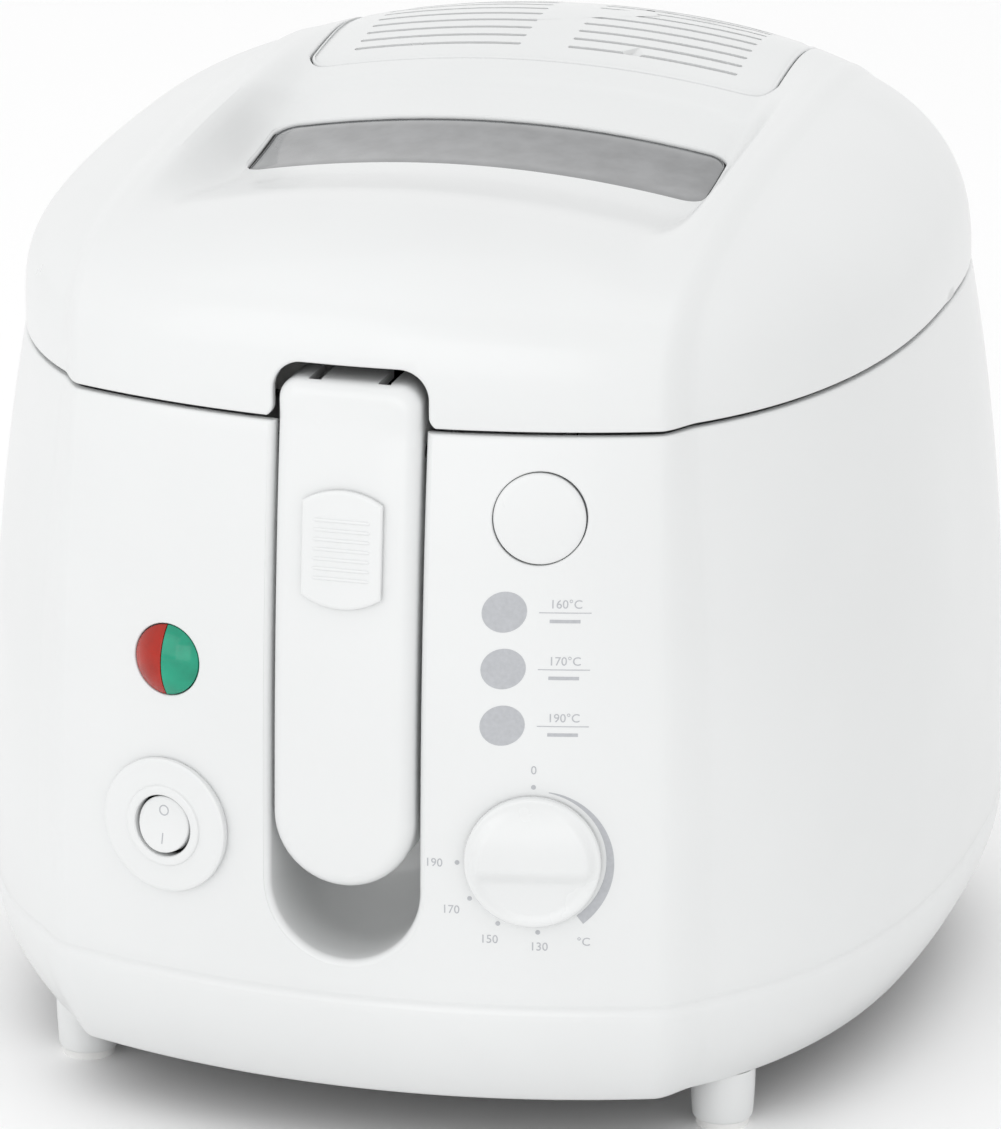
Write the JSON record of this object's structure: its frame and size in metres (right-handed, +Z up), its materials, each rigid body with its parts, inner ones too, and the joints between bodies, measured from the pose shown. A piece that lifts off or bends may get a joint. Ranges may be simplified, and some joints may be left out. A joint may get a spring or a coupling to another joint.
{
  "type": "deep fryer",
  "caption": "Compact cool-touch deep fryer with hinged window lid, filter cover, frying basket on a fold-down grip, oil pan, dial, round rocker switch, pilot lamp and lid button.",
  "frame": {"origin": "under the middle of the whole fryer, on the table", "axes": "+Z up, front with the grip and controls towards -Y, +X to the right seen from the front"},
  "size_m": [0.279, 0.3171, 0.2656],
  "materials": {
    "white_plastic": "satin gloss",
    "grey_plastic": "moulded",
    "dark_plastic": "moulded",
    "steel": "brushed",
    "chrome": "polished",
    "pan_coat": "non-stick coat",
    "rubber": "plain",
    "silicone": "plain",
    "window_glass": "tinted",
    "red_lens": "clear tinted",
    "green_lens": "clear tinted",
    "filter_fibre": "felt",
    "carbon_foam": "foam"
  },
  "bodies": {
    "housing": {"body_shell": "white_plastic", "grip_well": "white_plastic", "top_deck": "grey_plastic", "base_plate": "dark_plastic", "base_screws": "steel", "feet": "white_plastic", "foot_pads": "rubber", "oil_pan": "pan_coat", "heating_element": "pan_coat", "heat_shield": "steel", "thermostat_body": "dark_plastic", "thermal_cutout": "steel", "terminal_block": "grey_plastic", "cord_gland": "dark_plastic", "gland_nut": "dark_plastic", "switch_bezel": "white_plastic", "switch_housing": "dark_plastic", "lamp_holder": "grey_plastic", "lamp_lens_red": "red_lens", "lamp_lens_green": "green_lens", "neon_lamps": "red_lens", "button_guide": "grey_plastic", "button_spring": "steel", "latch_bracket": "steel", "latch_pin": "steel", "hinge_bracket": "steel", "hinge_pin": "chrome", "lid_spring": "steel"},
    "lid": {"lid_shell": "white_plastic", "lid_liner": "steel", "lid_seal": "silicone", "window_pane": "window_glass", "window_gasket": "rubber", "window_frame": "grey_plastic", "filter_tray": "grey_plastic", "grease_filter": "filter_fibre", "carbon_filter": "carbon_foam", "lid_hinge_arms": "white_plastic", "lid_catch": "steel", "liner_screws": "steel"},
    "filter_lid": {"filter_cover": "white_plastic"},
    "basket": {"basket_mesh": "chrome", "basket_rim": "chrome", "basket_bracket": "steel", "grip_pin": "chrome"},
    "grip": {"grip_shell": "white_plastic", "grip_back": "white_plastic", "grip_screws": "steel"},
    "lock_slider": {"slider_cap": "white_plastic", "slider_bolt": "steel"},
    "button": {"lid_button": "white_plastic"},
    "latch": {"latch_hook": "grey_plastic"},
    "rocker": {"power_rocker": "white_plastic"},
    "dial": {"knob": "white_plastic", "knob_spindle": "steel"}
  },
  "joints": [
    {"name": "lid_hinge", "type": "hinge", "parent": "housing", "child": "lid", "pos_m": [0, 0.1535, 0.203], "axis": [-1, 0, 0], "range_deg": [0, 90]},
    {"name": "filter_lift", "type": "slide", "parent": "lid", "child": "filter_lid", "axis": [0, 0, 1], "range_m": [0, 0.03]},
    {"name": "basket_lift", "type": "slide", "parent": "housing", "child": "basket", "axis": [0, 0, 1], "range_m": [0, 0.0701]},
    {"name": "grip_fold", "type": "hinge", "parent": "basket", "child": "grip", "pos_m": [0, -0.1395, 0.198], "axis": [-1, 0, 0], "range_deg": [0, 90]},
    {"name": "slider_slide", "type": "slide", "parent": "grip", "child": "lock_slider", "axis": [0, -0.1007, -0.9949], "range_m": [0, 0.006], "stiffness_N_per_m": 200, "springref_m": -0.005},
    {"name": "button_push", "type": "slide", "parent": "housing", "child": "button", "axis": [-0.2197, 0.9692, -0.1114], "range_m": [0, 0.004], "stiffness_N_per_m": 400, "springref_m": -0.004, "deforming": ["button_spring"]},
    {"name": "latch_swing", "type": "hinge", "parent": "housing", "child": "latch", "pos_m": [0.048, -0.1205, 0.15], "axis": [-1, 0, 0], "range_deg": [0, 7]},
    {"name": "rocker_tilt", "type": "hinge", "parent": "housing", "child": "rocker", "pos_m": [-0.051, -0.15016, 0.09], "axis": [0.9765, -0.2154, 0], "range_deg": [0, 14]},
    {"name": "dial_turn", "type": "hinge", "parent": "housing", "child": "dial", "pos_m": [0.051, -0.15016, 0.09], "axis": [-0.2154, 0.9763, -0.0206], "range_deg": [0, 266]}
  ],
  "couplings": [
    {"joint": "basket_lift", "follows": "lid_hinge", "m_per_rad": 0.0446},
    {"joint": "latch_swing", "follows": "button_push", "rad_per_m": 30.3}
  ]
}
